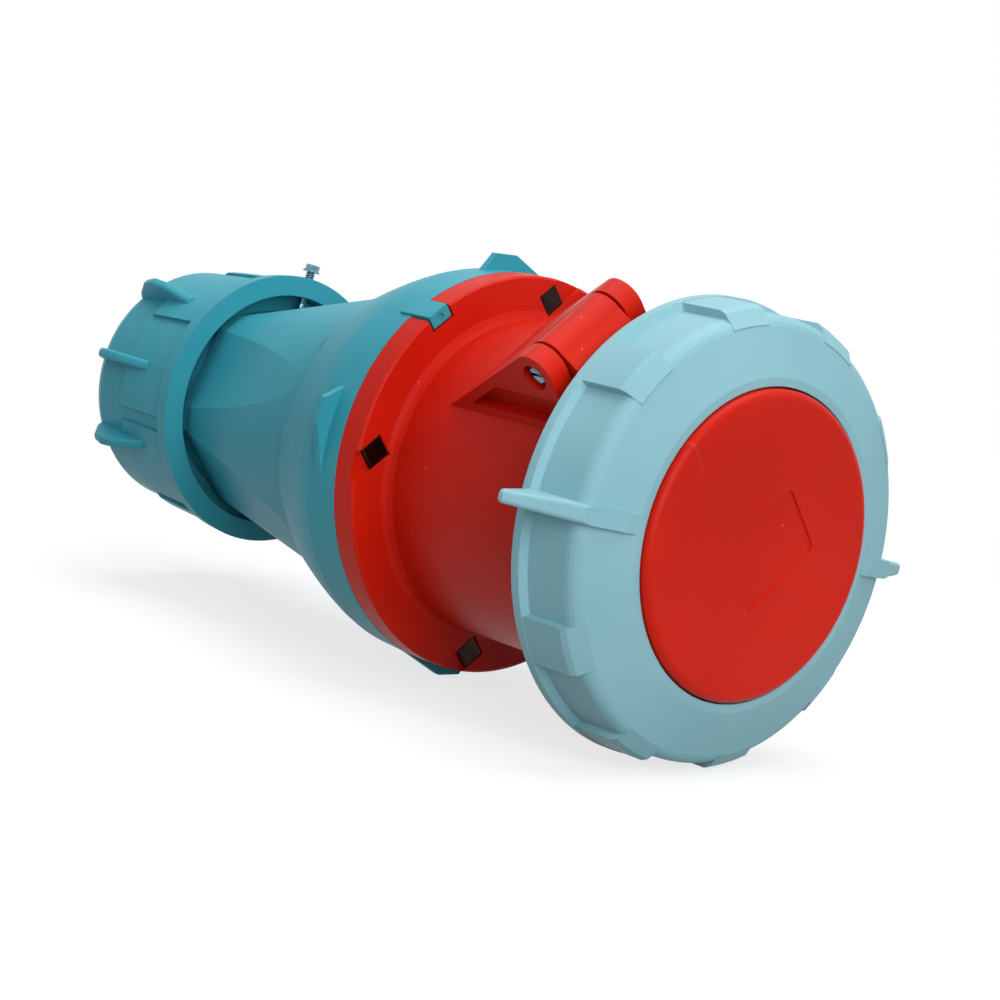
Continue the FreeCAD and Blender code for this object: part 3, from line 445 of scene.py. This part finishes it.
def floorPaper(look):
    material, shader, wire = newMaterial("floorPaper")
    feed(shader, {"Base Color": (look["grey"], look["grey"], look["grey"], 1.0),
                  "Roughness": look["roughness"], "Specular IOR Level": 0.0})
    paper = Wire(wire.tree, shader.outputs[0])
    glow = wire.node("ShaderNodeEmission", None, {"Strength": look["white"]})
    glowing = wire.node("ShaderNodeAddShader", None, {0: paper, 1: glow})
    near = wire.node("ShaderNodeMixShader", None, {0: seenDirectly(wire), 1: paper, 2: glowing})
    # far from the coupler the paper is plain white, so that no horizon shows
    offset = wire.node("ShaderNodeTexCoord", output="Object")
    away = wire.node("ShaderNodeVectorMath", {"operation": "LENGTH"}, {0: offset}, output="Value")
    far = seenDirectly(wire) * away.between(look["fadeFrom"], look["fadeTo"])
    white = wire.node("ShaderNodeEmission", None, {"Strength": 1.0})
    whole = wire.node("ShaderNodeMixShader", None, {0: far, 1: near, 2: white})
    wire.tree.links.new(whole.socket, material.node_tree.nodes["Material Output"].inputs["Surface"])
    return material


def floor(look):
    mesh = bmesh.new()
    bmesh.ops.create_grid(mesh, x_segments=1, y_segments=1, size=look["size"] / 2)
    data = bpy.data.meshes.new("floor")
    mesh.to_mesh(data)
    mesh.free()
    obj = bpy.data.objects.new("floor", data)
    bpy.context.scene.collection.objects.link(obj)
    dressed(obj, floorPaper(look))


def studioWorld(look):
    world = bpy.data.worlds.new("studio")
    bpy.context.scene.world = world
    world.use_nodes = True
    world.node_tree.nodes.clear()
    wire = Wire(world.node_tree)
    lit = wire.node("ShaderNodeBackground", None, {"Color": look["fill"], "Strength": look["fillStrength"]})
    shown = wire.node("ShaderNodeBackground", None, {"Color": (1.0, 1.0, 1.0, 1.0), "Strength": 1.0})
    mixed = wire.node("ShaderNodeMixShader", None, {0: seenDirectly(wire), 1: lit, 2: shown})
    end = world.node_tree.nodes.new("ShaderNodeOutputWorld")
    world.node_tree.links.new(mixed.socket, end.inputs["Surface"])


def softBox(name, look, aim):
    light = bpy.data.lights.new(name, "AREA")
    light.shape = "RECTANGLE"
    light.size, light.size_y = look["size"]
    light.energy = look["power"]
    obj = bpy.data.objects.new(name, light)
    obj.location = look["place"]
    towards = Vector(aim) - Vector(look["place"])
    obj.rotation_euler = towards.to_track_quat("-Z", "Y").to_euler()
    bpy.context.scene.collection.objects.link(obj)


def camera(look):
    data = bpy.data.cameras.new("photoCamera")
    data.lens = look["lens"]
    data.sensor_width = look["sensor"]
    obj = bpy.data.objects.new("photoCamera", data)
    obj.location = look["place"]
    obj.rotation_euler = [math.radians(angle) for angle in look["turned"]]
    bpy.context.scene.collection.objects.link(obj)
    bpy.context.scene.camera = obj


floor(floorLook)
studioWorld(studio)
for name, look in softBoxes.items():
    softBox(name, look, studio["aim"])
camera(photoCamera)
bpy.context.scene.view_settings.view_transform = "Standard"
print("studio set")
